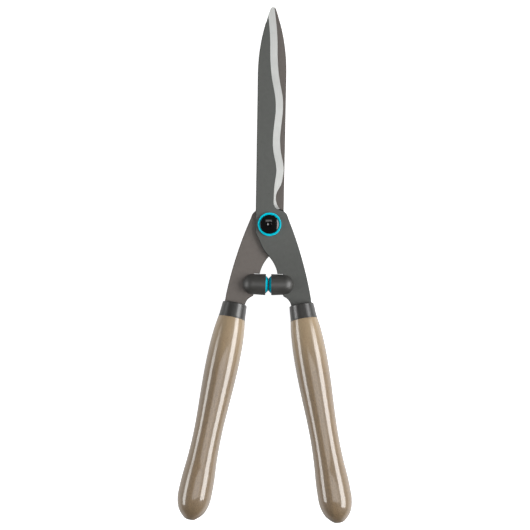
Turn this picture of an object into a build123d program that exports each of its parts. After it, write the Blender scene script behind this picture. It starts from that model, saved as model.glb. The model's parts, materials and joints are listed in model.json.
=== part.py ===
from build123d import *
import os
from math import atan2, cos, radians, sin, sqrt, tan

# Two-handed hedge shears, closed, lying on their back.
# Origin on the pivot axis, midway between the two blades. +Y runs to the blade tips, +Z is the front,
# where the pivot bolt's head is. The front lever has its handle on the right (+X), the rear lever on
# the left. All sizes are in millimetres.

os.makedirs("parts", exist_ok=True)

# ---- Driving dimensions ----
PLATE = 3.5  # thickness of both stamped levers
LEVER_GAP = 0.5  # space between the levers, taken up by the blade washer
RUNNING = 0.05  # clearance of a running fit
SEAT = 0.1  # clearance of a fixed fit

BLADE_HALF = 16.3  # half-width of a blade where its nose begins
NOSE_START = 172.0  # the blade narrows from here to the tip
NOSE_RADIUS = 212.0  # each side of the nose is one arc
TIP_RADIUS = 3.3
SPINE_FOOT = (15.9, -5.0)  # end of the blade's straight back, below the pivot

BEVEL_WIDTH = 8.2  # width of the ground bevel across the blade
BEVEL_LAND = 0.35  # thickness left at the cutting edge
BEVEL_RUN_OUT = 1.5  # slope of the bevel's end wall
RUN_OUT_RADIUS = 9.0  # the grinding wheel's track, where it turns off the blade
RUN_OUT_TURN = 76.0  # degrees it turns through

GRIP_ROOT = (38.0, -91.5)  # where a handle's axis meets the top of its ferrule
GRIP_YAW = 10.75  # degrees the handles spread from the centre line, each side
GRIP_RISE = 9.0  # degrees the handles are cranked forward of the levers
TANG_SHOULDER = 2.8  # how far the full-width lever reaches into the ferrule
TANG_LENGTH = 74.0
LEVER_NECK = 11.7  # half-width of a lever where it enters its ferrule

FERRULE_LENGTH = 17.0
FERRULE_TOP_R = 13.9
FERRULE_END_R = 15.1
FERRULE_BORE_R = 12.6
FERRULE_CAP = 1.4  # thickness of the ferrule's slotted end
FERRULE_TOP_INSET = 0.6  # how far that end stands beyond the handle's root
FERRULE_EDGE = 1.4  # its rounded shoulder
FERRULE_BEAD = 1.5  # length of the rolled bead round its lower end
FERRULE_BEAD_PROUD = 0.35

GRIP_END = 249.6  # distance from the ferrule's top to the handle's rounded end
GRIP_DOME = 28.7  # length of that rounded end
GRIP_BULB_R = 18.8  # radius where it begins

BUFFER_FACE = (3.2, -68.7)  # middle of a buffer's inner end
BUFFER_TILT = 1.0  # degrees its outer end stands higher
BUFFER_FACE_R = 12.1
BUFFER_NECK_R = 11.55  # the housing tapers to this radius, where its dome begins
BUFFER_BARREL = 14.8  # length of the tapered part
BUFFER_EDGE = 0.3  # bevel round the inner end
BUFFER_SCREW_AT = 19.5  # distance of its screw from the inner end
POCKET_X = 16.4  # depth of the lever's pocket that takes the housing
PAD_BASE_R = 10.0
PAD_RIM = 0.3  # length of the straight part of a pad, from the housing on
PAD_TIP_R = 7.7
PAD_PROUD = 2.55  # how far a pad stands out of its housing
PLUG_R = 7.1  # the dark plug in the middle of a pad, which takes the knock
PLUG_PROUD = 3.5  # how far it stands out of the housing, before its face is trimmed
PLUG_STEM_R = 2.5
PLUG_DEPTH = 3.0  # how deep its stem goes into the pad's stem
PLUG_GAP = 0.05  # space between the two plugs when the blades are closed
PAD_STEM_R = 4.5
PAD_BARB_R = 6.5  # its barbed end, which the two halves of the housing hold

SCREW_R = 1.7  # shank of the buffers' tapping screws
SCREW_PILOT_R = 1.75  # hole for it in the housing
SCREW_HOLE_R = 2.3  # hole for it in the lever
SCREW_TOP = 6.3  # height of its point, the same in both buffers
SCREW_SEATS = {1: -3.6, -1: -6.2}  # height that its head bears at, in the right and left buffer
SCREW_HEAD_R = 3.3
SCREW_HEAD = 2.1  # height of the head
SCREW_WELL_R = 3.7

BOLT_R = 5.0
BOLT_FLATS = 4.2  # half-width across the flats of the bolt's keyed neck
BOLT_END = -17.2  # lowest point of the shears
BOLT_HEAD_R = 10.6
BOLT_HEAD = 4.6  # height of the head
BOLT_DOME_R = 26.0  # radius of the dome's sphere
BOLT_HEAD_EDGE = 0.4  # rounding of its rim
BOLT_LIP_R = 3.3  # the dome stops here, at the socket's countersink
BOLT_LIP = 0.5  # width and depth of that countersink
SOCKET_HALF = 2.5  # half-width across the flats of the hexagon socket
SOCKET_DEPTH = 1.8
DRILL_POINT = 60.0  # half-angle of the cone that the drill leaves in the socket's floor
THREAD_R = 4.0
BUSH_R = 8.0
BUSH_FLOOR = 1.0  # thickness of the bush's flange under the bolt's head
RING_R = 13.4  # outside of the coloured ring
RING_BORE_R = 10.85
RING_HEIGHT = 2.7
RING_EDGE = 0.9

SLIP_R = 14.5  # outside of the washer between the blades
WASHER_R = 9.0
WASHER_BORE_R = THREAD_R + 0.2
WASHER_HEIGHT = 1.6  # of the flat washer, and of the coned spring with its cone
SPRING_R = 8.0
SPRING_SHEET = 1.0  # thickness of the coned spring
NUT_HEIGHT = 8.0
NUT_HALF = 6.5  # half-width across the flats
NUT_EDGE = 0.7
NUT_COLLAR_R = 5.8
NUT_COLLAR = 1.7  # height of the collar that holds the locking insert
INSERT_R = 5.2
INSERT_FROM, INSERT_TO = 0.3, 1.6  # heights of the insert above the nut's lower end

INNER = LEVER_GAP / 2
OUTER = INNER + PLATE


def reflected(points):
    return [(-x, y) for x, y in points]


def ogive(share):
    """A point on the right side of the blade's nose, share of the way from its start to the apex."""
    inset = NOSE_RADIUS - BLADE_HALF
    angle = share * atan2(sqrt(NOSE_RADIUS**2 - inset**2), inset)
    return (NOSE_RADIUS * cos(angle) - inset, NOSE_START + NOSE_RADIUS * sin(angle))


def beside_grip(distance, along):
    """A point beside the right handle's axis, seen from the front: distance is to its outer side."""
    yaw = radians(GRIP_YAW)
    x = GRIP_ROOT[0] + distance * cos(yaw) + along * sin(yaw)
    y = GRIP_ROOT[1] + distance * sin(yaw) - along * cos(yaw)
    return (x, y)


def lever_outline():
    """The stamped outline of a lever whose handle is on the right."""
    start, middle, apex = ogive(0), ogive(0.5), ogive(1)
    nose_left = ThreePointArc(*reflected([start, middle]), apex)
    nose_right = ThreePointArc(apex, middle, start)
    shoulder = ThreePointArc((16.0, 15.2), (18.7, 12.8), (20.9, 8.2))
    flank = ThreePointArc((27.0, -7.0), (39.2, -43.5), (48.05, -80.0))
    neck = [beside_grip(LEVER_NECK, 0), beside_grip(LEVER_NECK, TANG_SHOULDER)]
    neck += [beside_grip(-LEVER_NECK, TANG_SHOULDER), beside_grip(-LEVER_NECK, 0)]
    throat = ThreePointArc(neck[-1], (23.3, -86.1), (17.5, -82.1))
    crotch = Spline(
        (10.0, -56.4),
        (8.5, -50.6),
        (5.3, -43.9),
        (0.0, -36.6),
        (-6.2, -29.2),
        (-13.9, -13.5),
        (-SPINE_FOOT[0], SPINE_FOOT[1]),
        tangents=((-0.12, 1), (0, 1)),
    )
    outline = [
        nose_left,
        nose_right,
        Polyline(start, (16.0, 15.2)),
        shoulder,
        Line(shoulder @ 1, flank @ 0),
        flank,
        Polyline(flank @ 1, *neck),
        throat,
        Polyline(throat @ 1, (POCKET_X, -79.5), (POCKET_X, -56.4), crotch @ 0),
        crotch,
        Line(crotch @ 1, nose_left @ 0),
    ]
    face = make_face(outline)
    tip = face.vertices().sort_by(Axis.Y)[-1]
    return fillet(tip, TIP_RADIUS)


def beyond_the_bevel():
    """Everything past the wavy cutting edge, at the blade's inner face."""
    edge = Spline(
        (0.2, 256.0),
        (2.85, 236.7),
        (5.3, 212.0),
        (5.8, 192.0),
        (8.8, 164.0),
        (12.3, 146.0),
        (13.05, 132.0),
        (11.5, 114.0),
        (10.35, 97.0),
        (11.7, 82.0),
        (14.5, 68.5),
        (15.05, 62.5),
        (13.6, 50.0),
        (12.5, 36.0),
        (12.45, 26.5),
        tangents=((0.12, -1), (0, -1)),
    )
    run_out = JernArc(edge @ 1, (0, -1), RUN_OUT_RADIUS, RUN_OUT_TURN)
    end = run_out @ 1
    reach = 45.0
    far = (end.X + reach, end.Y - reach / 4)
    return make_face([edge, run_out, Polyline(end, far, (far[0], 262.0), (0.2, 262.0), edge @ 0)])


def branch_notch():
    """The hooked notch near the pivot that holds thicker twigs."""
    hook = Spline(
        (15.4, 59.0),
        (14.3, 53.0),
        (12.3, 45.3),
        (7.9, 36.8),
        (6.7, 30.0),
        (8.2, 22.7),
        (11.6, 17.9),
    )
    return make_face([hook, Polyline(hook @ 1, (16.0, 15.9), (30.0, 15.9), (30.0, 59.0), hook @ 0)])


def lever_plate():
    """A lever with its handle on the right, inner face down on z = 0, up to the ferrule."""
    plate = extrude(lever_outline(), PLATE)
    waste = beyond_the_bevel()
    slope = Vector(-BEVEL_WIDTH, -BEVEL_RUN_OUT, PLATE - BEVEL_LAND)
    plate -= extrude(waste, BEVEL_LAND)
    plate -= Pos(0, 0, BEVEL_LAND) * extrude(waste, 1.2 * slope.length, dir=slope)
    plate -= extrude(branch_notch(), PLATE)
    screw_hole = Pos(*buffer_point(1, BUFFER_SCREW_AT), PLATE / 2) * Cylinder(SCREW_HOLE_R, 2 * PLATE)
    return plate - screw_hole


def grip_plane(side, rise=GRIP_RISE):
    """Frame of a handle: local z runs down the handle, local x to the right across it."""
    yaw, lift = radians(GRIP_YAW), radians(rise)
    origin = (side * GRIP_ROOT[0], GRIP_ROOT[1], side * (INNER + PLATE / 2))
    axis = (side * sin(yaw) * cos(lift), -cos(yaw) * cos(lift), sin(lift))
    return Plane(origin, x_dir=(cos(yaw), side * sin(yaw), 0), z_dir=axis)


def turned(plane, profile):
    """Revolve a closed profile, drawn as (radius, distance along the axis), about a plane's normal."""
    return plane.location * revolve(Plane.XZ * profile, Axis.Z)


def tang(side, ease=0.0):
    """The tapered spike that is driven into the handle; ease widens it for the handle's slot."""
    half = [(7.5, 0.5), (7.0, 30.0), (3.5, TANG_LENGTH - 6), (1.2, TANG_LENGTH)]
    right = [(x + ease, s) for x, s in half]
    spike = Polyline(*right, *reflected(right)[::-1], close=True)
    solid = extrude(Plane.XZ * make_face(spike), PLATE / 2 + ease, both=True)
    return grip_plane(side).location * solid


def lever(side):
    plate = lever_plate()
    if side > 0:
        flat = Pos(0, 0, INNER) * plate
        pivot_hole = Cylinder(BUSH_R + SEAT, 4 * PLATE)
    else:
        flat = Pos(0, 0, -INNER) * (Rot(0, 180, 0) * plate)
        pivot_hole = keyed_shank(SEAT, 4 * PLATE)
    return flat + tang(side) - pivot_hole


def keyed_shank(ease, length):
    """A round bar with two flats, which keeps the bolt from turning in the rear lever."""
    bar = Cylinder(BOLT_R + ease, length)
    return bar & Box(4 * BOLT_R, 2 * (BOLT_FLATS + ease), length)


def handle(side):
    """Turned wooden handle: a spigot for the ferrule, a long swell, a waist and a rounded end."""
    dome_start = GRIP_END - GRIP_DOME
    swell = Spline(
        (15.3, FERRULE_LENGTH),
        (17.75, 36.5),
        (18.75, 66.0),
        (17.6, 106.0),
        (15.95, 147.0),
        (17.0, 185.0),
        (GRIP_BULB_R, dome_start),
        tangents=((0.2, 1), (0, 1)),
    )
    turns = [radians(angle) for angle in (22.5, 45.0, 67.5)]
    crown = [(GRIP_BULB_R * cos(turn), dome_start + GRIP_DOME * sin(turn)) for turn in turns]
    dome = Spline(swell @ 1, *crown, (0, GRIP_END), tangents=((0, 1), (-1, 0)))
    spigot_r = FERRULE_BORE_R - SEAT
    spigot_top = TANG_SHOULDER + 3 * SEAT
    spigot = [(0, spigot_top), (spigot_r, spigot_top), (spigot_r, FERRULE_LENGTH)]
    profile = make_face([swell, dome, Polyline(dome @ 1, *spigot, swell @ 0)])
    return turned(grip_plane(side), profile) - tang(side, SEAT)


def ferrule(side):
    """Slightly conical metal cap over the handle's top, slotted for the lever."""
    top = -FERRULE_TOP_INSET
    floor = top + FERRULE_CAP
    bead = FERRULE_LENGTH - FERRULE_BEAD
    wall = Line((FERRULE_TOP_R, top), (FERRULE_END_R, bead))
    bead_middle = (FERRULE_END_R + FERRULE_BEAD_PROUD, bead + FERRULE_BEAD / 2)
    roll = ThreePointArc(wall @ 1, bead_middle, (FERRULE_END_R, FERRULE_LENGTH))
    inside = [(FERRULE_BORE_R, FERRULE_LENGTH), (FERRULE_BORE_R, floor), (0, floor), (0, top)]
    cap = turned(Plane.XY, make_face([wall, roll, Polyline(roll @ 1, *inside, wall @ 0)]))
    shoulder = cap.edges().filter_by(GeomType.CIRCLE).group_by(Axis.Z)[0]
    cap = grip_plane(side).location * fillet(shoulder, FERRULE_EDGE)
    slot = Box(2 * LEVER_NECK + 6 * SEAT, PLATE + 4 * SEAT, 6 * FERRULE_CAP)
    return cap - grip_plane(side, 0).location * slot


def buffer_point(side, along):
    """A point on a buffer's axis, seen from the front."""
    tilt = radians(BUFFER_TILT)
    return (side * (BUFFER_FACE[0] + along * cos(tilt)), BUFFER_FACE[1] + along * sin(tilt))


def buffer_plane(side):
    """Frame of a buffer: local z runs outward along its axis from its inner end."""
    tilt = radians(BUFFER_TILT)
    return Plane((*buffer_point(side, 0), 0), x_dir=(0, 0, 1), z_dir=(side * cos(tilt), sin(tilt), 0))


def pad_profile(ease=0.0):
    """Half section of the elastic pad: its cone, its seat in the housing and its barbed stem."""
    stem, barb = PAD_STEM_R + ease, PAD_BARB_R + ease
    return Polyline(
        (0, -PAD_PROUD),
        (PAD_TIP_R, -PAD_PROUD),
        (PAD_BASE_R + ease, -PAD_RIM),
        (PAD_BASE_R + ease, 1.0),
        (stem, 1.0),
        (stem, 5.0 - ease),
        (barb, 5.0 - ease),
        (barb, 7.5 + ease),
        (0, 7.5 + ease),
        close=True,
    )


def plug_stem(ease=0.0):
    """Section of the plug's stem, below the pad's face."""
    size = (PLUG_STEM_R + ease, PAD_PROUD + PLUG_DEPTH + ease)
    return Pos(size[0] / 2, -PAD_PROUD + size[1] / 2) * Rectangle(*size)


def buffer_pad(side):
    return turned(buffer_plane(side), make_face(pad_profile()) - plug_stem(SEAT / 2))


def buffer_plug(side):
    """A plug, trimmed on the middle plane, so that the two plugs meet flat."""
    head = Pos(PLUG_R / 2, -(PLUG_PROUD + PAD_PROUD) / 2) * Rectangle(PLUG_R, PLUG_PROUD - PAD_PROUD)
    room = 4 * BUFFER_FACE_R
    own_side = Pos(side * (PLUG_GAP + room) / 2, BUFFER_FACE[1], 0) * Box(room, room, room)
    return turned(buffer_plane(side), head + plug_stem()) & own_side


def buffer_housing(side):
    """Both halves of a buffer housing in one piece, before it is split, without the lever's slot."""
    dome = CenterArc((0, BUFFER_BARREL), BUFFER_NECK_R, 0, 90)
    rim = [(BUFFER_FACE_R - BUFFER_EDGE, 0), (BUFFER_FACE_R, BUFFER_EDGE)]
    wall = Polyline(dome @ 1, (0, 0), *rim, dome @ 0)
    capsule = turned(buffer_plane(side), make_face([dome, wall]))
    capsule -= turned(buffer_plane(side), make_face(pad_profile(SEAT / 2)))
    reach = 24.0
    slot = Box(reach, reach + 2 * BUFFER_FACE_R, PLATE)
    slot_x = POCKET_X - 3 * SEAT + reach / 2
    slot_z = INNER + PLATE / 2
    return capsule - Pos(side * slot_x, BUFFER_FACE[1], side * slot_z) * slot


def buffer_shells(side):
    """Front and rear halves, parted at the lever's inner face, with the rear half's screw well."""
    x, y = buffer_point(side, BUFFER_SCREW_AT)
    room = 4 * BUFFER_FACE_R
    front_space = Pos(0, BUFFER_FACE[1], side * INNER + room / 2) * Box(2 * room, room, room)
    pilot = Pos(x, y, 0) * Cylinder(SCREW_PILOT_R, 2 * SCREW_TOP + 2 * SEAT)
    well = Pos(x, y, SCREW_SEATS[side] - room / 2) * Cylinder(SCREW_WELL_R, room)
    housing = buffer_housing(side) - pilot
    return housing & front_space, housing - front_space - well


def buffer_screw(side):
    """Pan-head tapping screw, put in from behind through the lever."""
    x, y = buffer_point(side, BUFFER_SCREW_AT)
    seat = SCREW_SEATS[side]
    blade, width, depth = 0.8, 3.4, 1.2
    shank = Pos(0, 0, (SCREW_TOP - seat) / 2) * Cylinder(SCREW_R, SCREW_TOP - seat)
    head = Pos(0, 0, -SCREW_HEAD / 2) * Cylinder(SCREW_HEAD_R, SCREW_HEAD)
    head = fillet(head.edges().sort_by(Axis.Z)[0], 0.43 * SCREW_HEAD)
    cross = Box(width, blade, 2 * depth) + Box(blade, width, 2 * depth)
    return Pos(x, y, seat) * (shank + head - Pos(0, 0, -SCREW_HEAD) * cross)


def pivot_bolt():
    """Domed bolt with a hexagon socket, a bearing shank, a keyed neck and a threaded end."""
    seat = OUTER + BUSH_FLOOR + RUNNING
    crown = seat + BOLT_HEAD

    def dome_height(radius):
        return crown - sqrt(BOLT_DOME_R**2 - BOLT_LIP_R**2) + sqrt(BOLT_DOME_R**2 - radius**2)

    halfway = (BOLT_HEAD_R + BOLT_LIP_R) / 2
    ends = [(radius, dome_height(radius)) for radius in (BOLT_HEAD_R, halfway, BOLT_LIP_R)]
    dome = ThreePointArc(*ends)
    countersink = (BOLT_LIP_R - BOLT_LIP, crown - BOLT_LIP)
    rest = Polyline(dome @ 1, countersink, (0, countersink[1]), (0, seat), (BOLT_HEAD_R, seat), dome @ 0)
    profile = make_face([dome, rest])
    rim = profile.vertices().group_by(Axis.X)[-1].sort_by(Axis.Y)[-1]
    bolt = revolve(Plane.XZ * fillet(rim, BOLT_HEAD_EDGE), Axis.Z)
    hexagon = RegularPolygon(SOCKET_HALF, 6, major_radius=False)
    floor = crown - SOCKET_DEPTH
    bolt -= Pos(0, 0, floor) * extrude(hexagon, 2 * SOCKET_DEPTH)
    point = floor - SOCKET_HALF / tan(radians(DRILL_POINT))
    cone = Polyline((0, point), (SOCKET_HALF, floor), (0, floor), close=True)
    bolt -= revolve(Plane.XZ * make_face(cone), Axis.Z)
    neck_top, neck_end = -SEAT, -OUTER + 2 * SEAT
    bolt += Pos(0, 0, (seat + neck_top) / 2) * Cylinder(BOLT_R, seat - neck_top)
    bolt += Pos(0, 0, (neck_top + neck_end) / 2) * keyed_shank(0, neck_top - neck_end)
    thread = Pos(0, 0, (neck_end + BOLT_END) / 2) * Cylinder(THREAD_R, neck_end - BOLT_END)
    return bolt + chamfer(thread.edges().sort_by(Axis.Z)[0], 0.7)


def washer(radius, bore, bottom, top):
    ring = Cylinder(radius, top - bottom) - Cylinder(bore, 2 * (top - bottom))
    return Pos(0, 0, (top + bottom) / 2) * ring


def pivot_bush():
    """Plastic bush with a flange under the bolt's head and a coloured ring round it."""
    bush = washer(BUSH_R, BOLT_R + RUNNING, 0, OUTER)
    bush += washer(RING_R, BOLT_R + RUNNING, OUTER, OUTER + BUSH_FLOOR)
    ring = washer(RING_R, RING_BORE_R, OUTER, OUTER + RING_HEIGHT)
    upper = ring.edges().filter_by(GeomType.CIRCLE).group_by(Axis.Z)[-1]
    return bush + fillet(upper, RING_EDGE)


def spring_washer(bottom, top):
    """Coned disc spring that keeps the pivot's friction."""
    inner = [(WASHER_BORE_R, bottom + SPRING_SHEET), (WASHER_BORE_R, bottom)]
    outer = [(SPRING_R, top - SPRING_SHEET), (SPRING_R, top)]
    return revolve(Plane.XZ * make_face(Polyline(*inner, *outer, close=True)), Axis.Z)


def lock_nut(bottom, top):
    """Hexagon nut with a collar that holds the locking insert."""
    height = top - bottom - NUT_COLLAR
    blank = Cylinder(1.13 * NUT_HALF, height)
    hexagon = extrude(RegularPolygon(NUT_HALF, 6, major_radius=False), height / 2, both=True)
    hexagon &= chamfer(blank.edges(), NUT_EDGE)
    nut = Pos(0, 0, top - height / 2) * hexagon
    nut += washer(NUT_COLLAR_R, THREAD_R, bottom, bottom + NUT_COLLAR)
    nut -= Pos(0, 0, (bottom + top) / 2) * Cylinder(THREAD_R, top - bottom)
    return nut - washer(INSERT_R, THREAD_R / 2, bottom + INSERT_FROM, bottom + INSERT_TO)


def write(name, shape):
    export_step(shape, f"parts/{name}.step")


def main():
    for side, hand, place in ((1, "right", "front"), (-1, "left", "rear")):
        front_shell, rear_shell = buffer_shells(side)
        write(f"{place}_blade", lever(side))
        write(f"{hand}_handle", handle(side))
        write(f"{hand}_ferrule", ferrule(side))
        write(f"{hand}_buffer_front_shell", front_shell)
        write(f"{hand}_buffer_rear_shell", rear_shell)
        write(f"{hand}_buffer_pad", buffer_pad(side))
        write(f"{hand}_buffer_plug", buffer_plug(side))
        write(f"{hand}_buffer_screw", buffer_screw(side))
    spring_top = -OUTER - WASHER_HEIGHT
    nut_top = spring_top - WASHER_HEIGHT
    nut_bottom = nut_top - NUT_HEIGHT
    write("pivot_bolt", pivot_bolt())
    write("pivot_bush", pivot_bush())
    write("blade_washer", washer(SLIP_R, BUSH_R + 3 * SEAT, -INNER + RUNNING, INNER))
    write("flat_washer", washer(WASHER_R, WASHER_BORE_R, spring_top, -OUTER))
    write("spring_washer", spring_washer(nut_top, spring_top))
    write("lock_nut", lock_nut(nut_bottom, nut_top))
    insert = washer(INSERT_R, THREAD_R, nut_bottom + INSERT_FROM, nut_bottom + INSERT_TO)
    write("nut_insert", insert)


main()
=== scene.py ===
"""Hedge shears, closed and lying on their back on a pale studio floor, seen from straight above."""
import json
from math import cos, pi, radians, sin, sqrt, tan

import bmesh
import bpy
from mathutils import Matrix, Vector


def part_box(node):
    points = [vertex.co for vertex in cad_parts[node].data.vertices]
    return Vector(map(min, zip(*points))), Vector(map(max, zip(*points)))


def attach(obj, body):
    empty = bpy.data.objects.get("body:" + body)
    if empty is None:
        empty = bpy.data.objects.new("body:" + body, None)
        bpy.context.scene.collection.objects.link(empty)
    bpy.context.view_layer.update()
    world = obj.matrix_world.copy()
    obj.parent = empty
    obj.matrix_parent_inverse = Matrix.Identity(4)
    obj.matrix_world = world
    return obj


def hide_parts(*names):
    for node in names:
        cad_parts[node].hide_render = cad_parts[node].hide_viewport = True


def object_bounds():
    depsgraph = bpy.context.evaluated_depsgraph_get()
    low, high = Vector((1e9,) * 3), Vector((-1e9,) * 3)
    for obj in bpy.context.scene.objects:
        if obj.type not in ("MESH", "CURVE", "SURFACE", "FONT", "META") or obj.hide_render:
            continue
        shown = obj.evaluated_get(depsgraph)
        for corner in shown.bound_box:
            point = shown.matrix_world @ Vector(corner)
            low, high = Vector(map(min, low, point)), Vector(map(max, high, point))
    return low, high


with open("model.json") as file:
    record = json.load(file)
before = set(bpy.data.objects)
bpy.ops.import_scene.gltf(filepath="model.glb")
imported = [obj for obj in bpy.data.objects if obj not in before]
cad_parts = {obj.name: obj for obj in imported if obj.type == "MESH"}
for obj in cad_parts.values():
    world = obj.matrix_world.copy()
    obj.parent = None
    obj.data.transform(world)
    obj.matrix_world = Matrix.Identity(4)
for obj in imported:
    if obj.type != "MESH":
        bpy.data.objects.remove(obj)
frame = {"nodes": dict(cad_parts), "record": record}

CAD_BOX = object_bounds()
MM = 0.001
MOUNTS = {mount["name"]: mount for mount in frame["record"]["mounts"]}

# ---- The frame's own sizes, read from its nodes ----
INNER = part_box("front_blade")[0].z  # inner face of the front lever
FLOOR = CAD_BOX[0].z
PLATE = 3.5 * MM  # thickness of both levers
OUTER = INNER + PLATE

EDGE_ROUND = 0.8 * MM  # rounding that the press leaves on a lever's outline
EDGE_SEGMENTS = 4
CORNER = radians(24)  # neighbouring faces at a greater angle are shaded with a crease between them
BEVEL_FROM = 17.5 * MM  # the blades' bevels lie beyond this distance from the pivot
RUN_OUT_FROM = 10.0 * MM  # and the wall at their end beyond this
FERRULE_FROM = -92.5 * MM  # the levers are inside their ferrules below this

# Distances from the pivot, in millimetres, over which painted light on the wood and painted shade on
# the front lever fade
PAINTED_LIGHT_ON_WOOD = (120.0, 180.0)  # the wood is paler at its top and fades to its full colour
PAINTED_FLANK_SHADE = (-48.0, -8.0)  # the front lever is darker at the stops than at the pivot


# ---- Materials ----
class Finish:
    """A material in the making. Each call adds a node and gives back the socket to link from."""

    def __init__(self, name, **sockets):
        self.material = bpy.data.materials.new(name)
        self.material.use_nodes = True
        self.tree = self.material.node_tree
        self.shader = self.tree.nodes["Principled BSDF"]
        for socket, value in sockets.items():
            self.give(socket.replace("_", " "), value)

    def feed(self, socket, value):
        if isinstance(value, bpy.types.NodeSocket):
            self.tree.links.new(value, socket)
        else:
            socket.default_value = value

    def give(self, socket, value):
        """Set one of the shader's own sockets."""
        self.feed(self.shader.inputs[socket], value)

    def node(self, kind, inputs=None, **options):
        made = self.tree.nodes.new(kind)
        for key, value in options.items():
            setattr(made, key, value)
        for key, value in (inputs or {}).items():
            self.feed(made.inputs[key], value)
        return made

    def place(self, stretch=(1, 1, 1), along=None, shift=(0, 0, 0)):
        """The place on the piece in millimetres. With along given, local z runs in that direction."""
        vector = self.node("ShaderNodeTexCoord").outputs["Object"]
        if along is not None:
            turn = Vector(along).rotation_difference(Vector((0, 0, 1))).to_euler()
            turned = {"Vector": vector, "Rotation": turn}
            vector = self.node("ShaderNodeMapping", turned).outputs["Vector"]
        scaled = {"Vector": vector, "Scale": [share / MM for share in stretch], "Location": shift}
        return self.node("ShaderNodeMapping", scaled).outputs["Vector"]

    def noise(self, vector, scale=1.0, detail=3.0, roughness=0.5):
        inputs = {"Vector": vector, "Scale": scale, "Detail": detail, "Roughness": roughness}
        return self.node("ShaderNodeTexNoise", inputs).outputs["Fac"]

    def cells(self, vector, scale=1.0, randomness=1.0):
        """Distance to the nearest of many scattered points."""
        inputs = {"Vector": vector, "Scale": scale, "Randomness": randomness}
        return self.node("ShaderNodeTexVoronoi", inputs).outputs["Distance"]

    def remap(self, value, low, high, to_low=0.0, to_high=1.0):
        inputs = {
            "Value": value,
            "From Min": low,
            "From Max": high,
            "To Min": to_low,
            "To Max": to_high,
        }
        return self.node("ShaderNodeMapRange", inputs).outputs["Result"]

    def math(self, operation, a, b):
        return self.node("ShaderNodeMath", {0: a, 1: b}, operation=operation).outputs[0]

    def blend(self, share, a, b, how="MIX"):
        """Mix two colours, each a socket or an (r, g, b) triple."""
        made = self.node("ShaderNodeMix", data_type="RGBA", blend_type=how)
        self.feed(made.inputs["Factor"], share)
        for key, colour in ((6, a), (7, b)):
            linked = isinstance(colour, bpy.types.NodeSocket)
            self.feed(made.inputs[key], colour if linked else (*colour, 1.0))
        return made.outputs[2]

    def part(self, vector, axis):
        """The X, Y or Z part of a vector."""
        return self.node("ShaderNodeSeparateXYZ", {"Vector": vector}).outputs[axis]

    def darken(self, colour, share):
        """Multiply a colour by one number, which varies over the surface."""
        grey = self.node("ShaderNodeCombineColor", {0: share, 1: share, 2: share}).outputs[0]
        return self.blend(1.0, colour, grey, "MULTIPLY")

    def bump(self, height, depth):
        """Raise the surface by depth, in metres, where height is 1."""
        inputs = {"Height": height, "Distance": depth, "Strength": 1.0}
        return self.node("ShaderNodeBump", inputs).outputs["Normal"]


def coated_steel(name, light, dark, painted_shade_at_stops=1.0):
    """Matte non-stick coating: a soft mottle, a fine orange peel, a few dull specks and painted shade.

    Its last argument is the share of its brightness that it keeps at the stops, where painted shade
    darkens it."""
    finish = Finish(name, IOR=1.42)
    mottle = finish.noise(finish.place(), 0.22, 5.0, 0.6)
    peel = finish.noise(finish.place(), 2.6, 4.0, 0.6)
    specks = finish.remap(finish.cells(finish.place((1, 0.6, 1)), 0.11), 0.03, 0.06, 0.75, 1.0)
    # painted shade: the colour grows darker towards the stops, where less light falls on the flank
    flank_shade = finish.remap(finish.part(finish.place(), "Y"), *PAINTED_FLANK_SHADE, painted_shade_at_stops, 1.0)
    colour = finish.blend(finish.remap(mottle, 0.3, 0.7), dark, light)
    finish.give("Base Color", finish.darken(colour, finish.math("MULTIPLY", specks, flank_shade)))
    finish.give("Roughness", finish.remap(peel, 0.3, 0.7, 0.46, 0.6))
    finish.give("Normal", finish.bump(peel, 0.02 * MM))
    return finish.material


def painted_shade_edge(name, colour):
    """A lever's rounded rim or the end wall of its bevel, coloured darker than the coating as painted
    shade.
    """
    finish = Finish(name, IOR=1.4)
    grain = finish.noise(finish.place((1, 1, 3)), 1.1, 4.0, 0.6)
    darker = [0.6 * part for part in colour]
    finish.give("Base Color", finish.blend(finish.remap(grain, 0.3, 0.7), darker, colour))
    finish.give("Roughness", finish.remap(grain, 0.3, 0.7, 0.5, 0.66))
    finish.give("Normal", finish.bump(grain, 0.03 * MM))
    return finish.material


def ground_steel():
    """The bevel as the grinding wheel leaves it: bright, with fine lines along the edge."""
    finish = Finish("ground_steel", Metallic=0.5)
    lines = finish.noise(finish.place((2.6, 0.05, 1)), 1.0, 4.0, 0.65)
    clouds = finish.noise(finish.place(), 0.09, 3.0, 0.5)
    tone = finish.math("ADD", finish.math("MULTIPLY", lines, 0.7), finish.math("MULTIPLY", clouds, 0.3))
    dark, light = (0.337, 0.342, 0.332), (0.413, 0.418, 0.408)
    finish.give("Base Color", finish.blend(finish.remap(tone, 0.35, 0.65), dark, light))
    finish.give("Roughness", finish.remap(lines, 0.3, 0.7, 0.48, 0.6))
    finish.give("Normal", finish.bump(lines, 0.004 * MM))
    return finish.material


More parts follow.
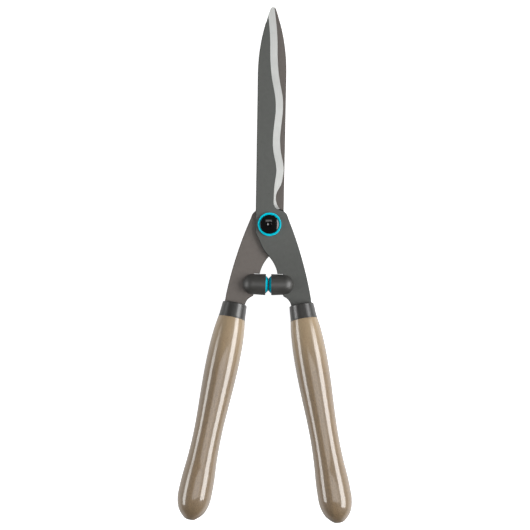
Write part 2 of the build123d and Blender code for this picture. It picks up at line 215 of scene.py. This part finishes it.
def lacquered_wood(name, along, shift):
    """Clear-lacquered hardwood: long fibres, slow colour bands, short ray flecks, fine pores and
    painted light at its top.
    """
    finish = Finish(name, Coat_Weight=1.0, Coat_Roughness=0.1, Coat_IOR=1.65, IOR=1.55)
    fibre = finish.noise(finish.place((1.5, 1.5, 0.06), along, shift), 1.0, 5.0, 0.62)
    band = finish.noise(finish.place((0.1, 0.1, 0.006), along, shift), 1.0, 3.0, 0.5)
    pore = finish.noise(finish.place((5.0, 5.0, 0.9), along, shift), 1.0, 2.0, 0.5)
    fleck = finish.cells(finish.place((0.3, 0.3, 0.1), along, shift), 1.0)
    speckle = finish.noise(finish.place((0.9, 0.9, 0.45), along, shift), 1.0, 4.0, 0.7)
    down = finish.part(finish.place((1, 1, 1), along), "Z")
    colour = finish.blend(finish.remap(band, 0.3, 0.7), (0.236, 0.172, 0.103), (0.318, 0.22, 0.124))
    for share, layer in (
        (finish.remap(speckle, 0.42, 0.62, 0.0, 0.65), (0.17, 0.113, 0.062)),
        (finish.remap(fibre, 0.35, 0.7, 0.0, 0.4), (0.19, 0.128, 0.072)),
        (finish.remap(pore, 0.56, 0.72, 0.0, 0.35), (0.15, 0.105, 0.066)),
        (finish.remap(fleck, 0.05, 0.12, 0.75, 0.0), (0.07, 0.048, 0.03)),
        # painted light: the wood is made paler towards its top, where more light falls
        (finish.remap(down, *PAINTED_LIGHT_ON_WOOD, 0.42, 0.0), (0.56, 0.42, 0.255)),
    ):
        colour = finish.blend(share, colour, layer)
    finish.give("Base Color", colour)
    finish.give("Roughness", finish.remap(fibre, 0.3, 0.7, 0.42, 0.56))
    finish.give("Normal", finish.bump(fibre, 0.012 * MM))
    return finish.material


def satin_metal():
    """Dark painted ferrule with a slightly cloudy, finely grained coat."""
    finish = Finish("satin_metal", IOR=1.65, Coat_Weight=0.3, Coat_Roughness=0.28)
    cloud = finish.noise(finish.place(), 0.3, 4.0, 0.6)
    fine = finish.noise(finish.place(), 4.0, 3.0, 0.6)
    dark, light = (0.026, 0.0255, 0.0235), (0.037, 0.036, 0.033)
    finish.give("Base Color", finish.blend(finish.remap(cloud, 0.3, 0.7), dark, light))
    finish.give("Roughness", finish.remap(fine, 0.3, 0.7, 0.3, 0.4))
    finish.give("Normal", finish.bump(fine, 0.006 * MM))
    return finish.material


def moulded(name, dark, light, rough, ior=1.5):
    """Moulded plastic or rubber with a spark-eroded grain and slow flow marks."""
    finish = Finish(name, IOR=ior)
    grain = finish.noise(finish.place(), 3.2, 4.0, 0.6)
    flow = finish.noise(finish.place((0.5, 1, 1)), 0.16, 3.0, 0.5)
    finish.give("Base Color", finish.blend(finish.remap(flow, 0.3, 0.7), dark, light))
    finish.give("Roughness", finish.remap(grain, 0.3, 0.7, rough - 0.05, rough + 0.07))
    finish.give("Normal", finish.bump(grain, 0.015 * MM))
    return finish.material


def black_gloss():
    """The pivot bolt's hard glossy coating, with faint hairlines."""
    finish = Finish("black_gloss", IOR=1.3, Coat_Weight=1.0, Coat_Roughness=0.04)
    hairs = finish.noise(finish.place((0.5, 6, 1)), 1.2, 3.0, 0.6)
    cloud = finish.noise(finish.place(), 0.5, 3.0, 0.5)
    dark, light = (0.002, 0.002, 0.002), (0.004, 0.0035, 0.0035)
    finish.give("Base Color", finish.blend(finish.remap(cloud, 0.3, 0.7), dark, light))
    finish.give("Roughness", finish.remap(hairs, 0.3, 0.7, 0.12, 0.22))
    finish.give("Normal", finish.bump(hairs, 0.003 * MM))
    return finish.material


def plated_steel(name, dark, light, rough):
    """Zinc or blackened fastener steel with handling marks."""
    finish = Finish(name, Metallic=1.0)
    cloud = finish.noise(finish.place(), 0.7, 4.0, 0.65)
    fine = finish.noise(finish.place((3, 3, 1)), 2.0, 4.0, 0.6)
    finish.give("Base Color", finish.blend(finish.remap(cloud, 0.3, 0.7), dark, light))
    finish.give("Roughness", finish.remap(fine, 0.3, 0.7, rough - 0.08, rough + 0.1))
    finish.give("Normal", finish.bump(fine, 0.006 * MM))
    return finish.material


def studio_floor():
    """White paper that glows a little, so that it stays white at the picture's edges."""
    finish = Finish("studio_floor", Roughness=0.9, Emission_Strength=0.92)
    paper = finish.noise(finish.place((0.02, 0.02, 0.02)), 1.0, 2.0, 0.5)
    finish.give("Base Color", finish.blend(paper, (0.5, 0.5, 0.5), (0.52, 0.52, 0.52)))
    finish.give("Emission Color", (1.0, 1.0, 1.0, 1.0))
    return finish.material


# ---- Pieces ----
COATING, BEVEL, RIM, END_WALL = range(4)  # a lever's finishes, in the order of its material slots


def finish_of(face, front):
    """Which of a lever's finishes a face has, before its rim is rounded. front is 1 or -1, for which
    lever it is: the bevel slopes down from the lever's outer face."""
    rise = face.normal.z * front
    place = face.calc_center_median().y
    if 0.75 < rise < 0.985 and place > BEVEL_FROM:
        return BEVEL
    if 0.3 < rise < 0.985 and place > RUN_OUT_FROM:
        return END_WALL
    return COATING


def is_wall(face, front):
    """Whether a face stands upright, away from the bevel and from the thin land at the cutting edge."""
    near = {other.material_index for vert in face.verts for other in vert.link_faces}
    on_land = face.calc_center_median().y > BEVEL_FROM and face.normal.x * front > 0
    return abs(face.normal.z) < 0.1 and BEVEL not in near and not on_land


def rim_depth(vert, front):
    """How far a vertex lies from the nearer of its lever's two faces."""
    height = front * vert.co.z
    return max(0.0, min(OUTER - height, height - INNER))


def cut_walls(work, front):
    """Cut the faces marked RIM at every step of the rounding, next to both faces of the lever."""
    for step in range(1, EDGE_SEGMENTS + 1):
        depth = EDGE_ROUND * (1 - cos(pi / 2 * step / EDGE_SEGMENTS))
        for height in (OUTER - depth, INNER + depth):
            walls = [face for face in work.faces if face.material_index == RIM]
            edges = {edge for face in walls for edge in face.edges}
            verts = {vert for face in walls for vert in face.verts}
            cut = {"geom": [*walls, *edges, *verts], "dist": MM / 1000}
            bmesh.ops.bisect_plane(work, **cut, plane_co=(0, 0, front * height), plane_no=(0, 0, 1))


def inward(vert):
    """The way into the metal from a vertex of the walls. Longer at corners, to keep the inset even."""
    total, middle = 0.0, Vector()
    for loop in vert.link_loops:
        if loop.face.material_index == RIM:
            total += loop.calc_angle()
            middle += loop.calc_angle() * loop.face.normal
    middle /= total
    return -middle / max(0.3, middle.length_squared)


def round_rims(work, front):
    """Round a lever's outline on both faces, up to the ground part of its blade."""
    for face in work.faces:
        if is_wall(face, front):
            face.material_index = RIM
    cut_walls(work, front)
    moves = {}
    for vert in work.verts:
        kinds = {face.material_index for face in vert.link_faces}
        depth = rim_depth(vert, front)
        if RIM in kinds and kinds <= {COATING, RIM} and vert.co.y > FERRULE_FROM and depth < EDGE_ROUND:
            inset = EDGE_ROUND - sqrt(EDGE_ROUND**2 - (EDGE_ROUND - depth) ** 2)
            moves[vert] = inset * inward(vert)
    for vert, move in moves.items():
        vert.co += move


def shaded_with(face):
    """Faces that give the same answer are shaded as one: the bevel, the flat sides, and the rest."""
    return face.material_index == BEVEL, abs(face.normal.z) > 0.9999


def crease(work):
    """Shade a lever smooth, apart from its corners and the outlines of its bevel and flat sides."""
    work.normal_update()
    for edge in work.edges:
        together = len({shaded_with(face) for face in edge.link_faces}) == 1
        edge.smooth = together and edge.calc_face_angle() < CORNER
    for face in work.faces:
        face.smooth = True


def finished_blade(node, body, front, finishes):
    """A lever with a rounded rim and a ground bevel, made from the CAD lever's own faces."""
    work = bmesh.new()
    work.from_mesh(frame["nodes"][node].data)
    bmesh.ops.remove_doubles(work, verts=work.verts, dist=0.001 * MM)
    bmesh.ops.dissolve_limit(work, angle_limit=radians(0.2), verts=work.verts, edges=work.edges)
    for face in work.faces:
        face.material_index = finish_of(face, front)
    round_rims(work, front)
    crease(work)
    mesh = bpy.data.meshes.new(node + "_finished")
    work.to_mesh(mesh)
    work.free()
    if "custom_normal" in mesh.attributes:  # the CAD lever's, which the rounding has outdated
        mesh.attributes.remove(mesh.attributes["custom_normal"])
    for finish in finishes:
        mesh.materials.append(finish)
    piece = bpy.data.objects.new(node + "_finished", mesh)
    bpy.context.scene.collection.objects.link(piece)
    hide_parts(node)
    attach(piece, body)


def dress(nodes, material):
    """Give CAD nodes that keep their own shape a detailed material."""
    for node in nodes:
        piece = frame["nodes"][node]
        for slot in piece.material_slots:
            slot.material = material


bright = ground_steel()
# One coating on both levers: the rear copy is painted lighter and warmer, standing in for the light
# that falls on it
front_coat = coated_steel(
    "front_coating", light=(0.103, 0.107, 0.1), dark=(0.0933, 0.0968, 0.0903), painted_shade_at_stops=0.84
)
rear_coat = coated_steel("rear_coating", light=(0.149, 0.131, 0.119), dark=(0.134, 0.118, 0.106))
# painted shade: the rims are darker than the coating, standing in for the shadow along the levers'
# edges
front_rim_shade = painted_shade_edge("front_rim_shade", (0.064, 0.067, 0.062))
rear_rim_shade = painted_shade_edge("rear_rim_shade", (0.1, 0.088, 0.079))
# painted shade: the wall at the end of each bevel is near-black, where it lies in shadow
run_out_shade = painted_shade_edge("run_out_shade_steel", (0.02, 0.019, 0.017))
finished_blade("front_blade", "front_lever", 1, (front_coat, bright, front_rim_shade, run_out_shade))
finished_blade("rear_blade", "rear_lever", -1, (rear_coat, bright, rear_rim_shade, run_out_shade))

for hand, shift in (("left", (3, 8, 1)), ("right", (21, 2, 5))):
    grip_axis = MOUNTS[hand + "_grip"]["axis"]
    dress([hand + "_handle"], lacquered_wood(hand + "_wood", grip_axis, shift))

housing = moulded("housing_plastic", (0.038, 0.0375, 0.0345), (0.048, 0.047, 0.0435), 0.45, 1.7)
# painted shade: near-black plugs between the pads, where the seam between them lies in shade
seam_shade_plug = moulded("seam_shade_plug", (0.012, 0.012, 0.0115), (0.018, 0.0175, 0.017), 0.6, 1.4)
pad_rubber = moulded("pad_rubber", (0.0, 0.45, 0.60), (0.0, 0.53, 0.69), 0.55, 1.15)
ring_plastic = moulded("ring_plastic", (0.0, 0.53, 0.68), (0.0, 0.60, 0.76), 0.4, 1.14)
slip_plastic = moulded("slip_plastic", (0.62, 0.62, 0.58), (0.7, 0.7, 0.66), 0.4)
nylon = moulded("insert_nylon", (0.03, 0.08, 0.25), (0.04, 0.1, 0.3), 0.4)
zinc = plated_steel("zinc_steel", (0.45, 0.46, 0.47), (0.62, 0.63, 0.64), 0.34)
blackened = plated_steel("blackened_steel", (0.06, 0.06, 0.06), (0.12, 0.12, 0.12), 0.4)
ferrule_finish = satin_metal()
for hand in ("left", "right"):
    dress([hand + "_ferrule"], ferrule_finish)
    dress([hand + "_buffer_front_shell", hand + "_buffer_rear_shell"], housing)
    dress([hand + "_buffer_pad"], pad_rubber)
    dress([hand + "_buffer_plug"], seam_shade_plug)
    dress([hand + "_buffer_screw"], blackened)
dress(["pivot_bolt"], black_gloss())
dress(["pivot_bush"], ring_plastic)
dress(["blade_washer"], slip_plastic)
dress(["flat_washer", "spring_washer", "lock_nut"], zinc)
dress(["nut_insert"], nylon)


# ---- Studio ----
OVERHEAD_AIR = 0.08  # brightness of the studio's air above the floor
LOW_AIR = 0.28  # and below it, in place of the floor's own light
RIGHT_WALL, LEFT_WALL = 0.85, 0.48  # added low down on both sides

REACH = 1.5  # distance of the lights from the tool, in metres
RIGHT_BOX, RIGHT_RADIANCE = (55.6, 31), 6.9  # angle from overhead and width, in degrees
LEFT_BOX, LEFT_RADIANCE = (-70.5, 21), 5.4
# Where the side lights start, where they begin to fade and where they end, along the blades
RIGHT_SPAN = (-0.7, 0.5, 1.05)
LEFT_SPAN = (-0.72, 0.25, 0.75)
FADING_PANELS = 5
# Overhead panels: left and right side, and radiance
TOP_PANELS = (
    ("top_softbox_left", -0.52, -0.34, 1.0),
    ("top_softbox", -0.34, 0.56, 1.9),
    ("top_softbox_right", 0.56, 0.95, 0.9),
)
TOP_SPAN = (-0.45, 0.3)
BOLT_CARD = (-0.56, 0.33, 0.39, 0.67, 2.0)  # left, right, start, end and radiance

EYE = (-4.3 * MM, -46.4 * MM, 2.3)
EYE_TURN = 1.02  # degrees
FOCAL_LENGTH, SENSOR = 137.0, 36.0  # millimetres


def floor():
    """A plain white ground, seen by the camera alone. Pale air lights the tool from below instead."""
    side = 12.0
    mesh = bpy.data.meshes.new("floor")
    corners = [(-side, -side, FLOOR), (side, -side, FLOOR), (side, side, FLOOR), (-side, side, FLOOR)]
    mesh.from_pydata(corners, [], [(0, 1, 2, 3)])
    mesh.materials.append(studio_floor())
    plane = bpy.data.objects.new("floor", mesh)
    plane.visible_diffuse = False
    plane.visible_glossy = False
    plane.visible_shadow = False
    bpy.context.scene.collection.objects.link(plane)


def softbox(name, centre, facing, width, length, radiance):
    """A rectangular light that shines against facing, with its length along the blades."""
    outward = Vector(facing).normalized()
    lengthwise = (Vector((0, 1, 0)) - outward * outward.y).normalized()
    axes = Matrix((lengthwise.cross(outward), lengthwise, outward)).transposed()
    lamp = bpy.data.lights.new(name, "AREA")
    lamp.shape = "RECTANGLE"
    lamp.size, lamp.size_y = width, length
    lamp.energy = radiance * pi * width * length
    box = bpy.data.objects.new(name, lamp)
    box.location = centre
    box.rotation_mode = "QUATERNION"
    box.rotation_quaternion = axes.to_quaternion()
    box.visible_camera = False
    bpy.context.scene.collection.objects.link(box)
    return box


def side_light(name, tilt, spread, low, high, radiance):
    """A long light beside the tool. tilt is its angle from overhead, spread its width, in degrees."""
    facing = Vector((sin(radians(tilt)), 0, cos(radians(tilt))))
    centre = REACH * facing + Vector((0, (low + high) / 2, 0))
    softbox(name, centre, facing, 2 * REACH * tan(radians(spread / 2)), high - low, radiance)


def fading_end(name, box, low, high, radiance):
    """The far end of a side light, in panels that grow dimmer towards high."""
    panel = (high - low) / FADING_PANELS
    for step in range(FADING_PANELS):
        start = low + step * panel
        share = 1 - (step + 0.5) / FADING_PANELS
        side_light(f"{name}_end_{step}", *box, start, start + panel, share * radiance)


def top_light(name, left, right, low, high, radiance):
    """A level light over the tool, between two places in x and two in y."""
    centre = ((left + right) / 2, (low + high) / 2, REACH)
    return softbox(name, centre, (0, 0, 1), right - left, high - low, radiance)


def link_light(lamp, node, state):
    """INCLUDE makes a light shine on this node alone. EXCLUDE keeps it off the node."""
    linked = bpy.data.collections.new(lamp.name + "_linked")
    linked.objects.link(frame["nodes"][node])
    linked.collection_objects[0].light_linking.link_state = state
    lamp.light_linking.receiver_collection = linked


def studio_air():
    """Dim air overhead, paler below, and pale walls low down at both sides. The camera sees white."""
    world = bpy.data.worlds.new("studio_air")
    world.use_nodes = True
    tree = world.node_tree
    parts = tree.nodes.new("ShaderNodeSeparateXYZ")
    tree.links.new(tree.nodes.new("ShaderNodeTexCoord").outputs["Generated"], parts.inputs["Vector"])

    def ramp(axis, start, end, low, high):
        made = tree.nodes.new("ShaderNodeMapRange")
        limits = {"From Min": start, "From Max": end, "To Min": low, "To Max": high}
        for key, value in limits.items():
            made.inputs[key].default_value = value
        tree.links.new(parts.outputs[axis], made.inputs["Value"])
        return made.outputs["Result"]

    def combine(operation, a, b):
        made = tree.nodes.new("ShaderNodeMath")
        made.operation = operation
        tree.links.new(a, made.inputs[0])
        tree.links.new(b, made.inputs[1])
        return made.outputs[0]

    right, left = ramp("X", 0.3, 0.6, 0.0, RIGHT_WALL), ramp("X", -0.3, -0.6, 0.0, LEFT_WALL)
    walls = combine("MULTIPLY", combine("ADD", right, left), ramp("Z", 0.0, -0.3, 0.0, 1.0))
    air = combine("ADD", walls, ramp("Z", 0.1, -0.1, OVERHEAD_AIR, LOW_AIR))
    seen = tree.nodes.new("ShaderNodeLightPath").outputs["Is Camera Ray"]
    tree.links.new(combine("MAXIMUM", air, seen), tree.nodes["Background"].inputs["Strength"])
    tree.nodes["Background"].inputs["Color"].default_value = (1, 1, 1, 1)
    bpy.context.scene.world = world


def camera():
    """Straight above the tool, turned a little, so that the blades' tip leans to the right."""
    lens = bpy.data.cameras.new("camera")
    lens.sensor_width = SENSOR
    lens.lens = FOCAL_LENGTH
    lens.clip_end = 60.0
    eye = bpy.data.objects.new("camera", lens)
    eye.location = EYE
    eye.rotation_euler = (0, 0, radians(EYE_TURN))
    bpy.context.scene.collection.objects.link(eye)
    bpy.context.scene.camera = eye


floor()
for name, box, span, radiance in (
    ("right_softbox", RIGHT_BOX, RIGHT_SPAN, RIGHT_RADIANCE),
    ("left_softbox", LEFT_BOX, LEFT_SPAN, LEFT_RADIANCE),
):
    side_light(name, *box, *span[:2], radiance)
    fading_end(name, box, *span[1:], radiance)
for name, left, right, radiance in TOP_PANELS:
    link_light(top_light(name, left, right, *TOP_SPAN, radiance), "pivot_bolt", "EXCLUDE")
link_light(top_light("bolt_card", *BOLT_CARD), "pivot_bolt", "INCLUDE")
studio_air()
camera()
bpy.context.scene.view_settings.view_transform = "Standard"
